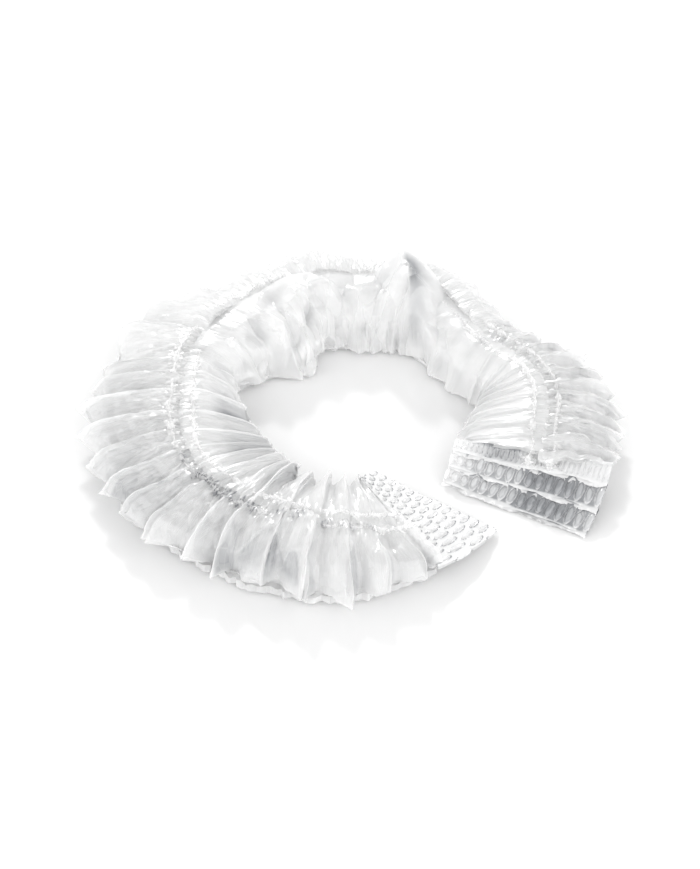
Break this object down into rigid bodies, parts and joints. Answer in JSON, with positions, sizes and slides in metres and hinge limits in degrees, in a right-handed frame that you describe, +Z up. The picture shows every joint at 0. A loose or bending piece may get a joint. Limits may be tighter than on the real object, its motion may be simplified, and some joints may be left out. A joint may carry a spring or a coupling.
{
  "type": "disposable shower cap in packed strip form",
  "caption": "Clear film shower cap as packed: its gathered, pleated strip with crimped ends lies curled into a C, elastic mouth upward.",
  "frame": {"origin": "middle of the footprint's box, on the floor that the cap lies on", "axes": "+Z up out of the floor, on the side of the gathered mouth; +Y away from the side of the C where its two crimped ends lie"},
  "size_m": [0.1312, 0.1314, 0.0247],
  "materials": {
    "clear_film": "thin blown polyethylene film, clear, glossy and creased",
    "crimped_film": "many plies of the same film pressed together and embossed with oval marks",
    "white_elastic": "thin white elastic welded in a gathered film hem"
  },
  "bodies": {
    "root": {"film": "clear_film", "elastic_outer": "white_elastic", "elastic_inner": "white_elastic", "end_seal_front": "crimped_film", "end_seal_right": "crimped_film"}
  },
  "joints": []
}
